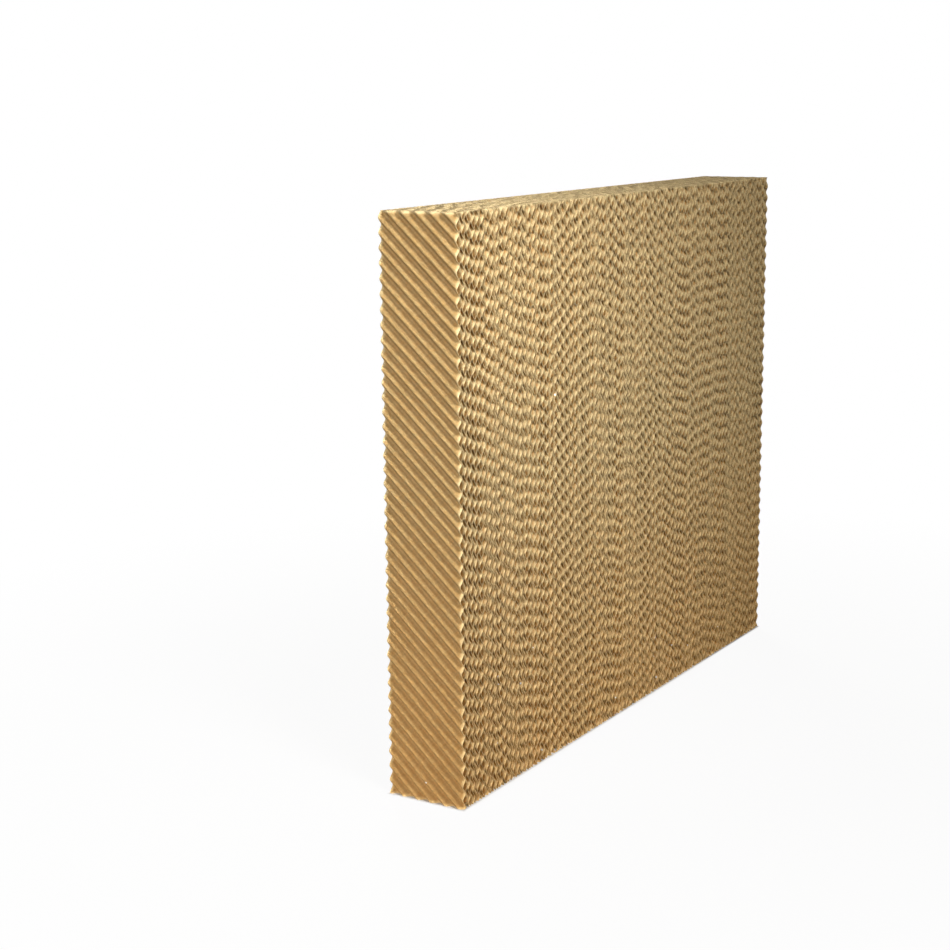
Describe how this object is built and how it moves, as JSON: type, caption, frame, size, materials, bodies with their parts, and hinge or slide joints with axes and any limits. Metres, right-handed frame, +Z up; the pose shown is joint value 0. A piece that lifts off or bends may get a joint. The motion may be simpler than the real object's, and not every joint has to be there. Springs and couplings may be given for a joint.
{
  "type": "evaporative cooling pad",
  "caption": "Upright block of corrugated kraft paper sheets glued with crossing flutes, open front to back, that cools air drawn through it while water runs down.",
  "frame": {"origin": "middle of the underside of the block", "axes": "+Z up along the height, X across the stack of sheets, -Y out of the air entry face and +Y out of the air exit face"},
  "size_m": [0.82, 0.1, 0.665],
  "materials": {
    "kraft_paper": "matte resin-stiffened kraft paper, cut edges",
    "end_sheet_paper": "matte resin-stiffened kraft paper, fluted face"
  },
  "bodies": {
    "root": {"left_end_sheet": "end_sheet_paper", "right_end_sheet": "end_sheet_paper", "rising_sheets_left": "kraft_paper", "rising_sheets_middle": "kraft_paper", "rising_sheets_right": "kraft_paper", "falling_sheets_left": "kraft_paper", "falling_sheets_middle": "kraft_paper", "falling_sheets_right": "kraft_paper"}
  },
  "joints": []
}
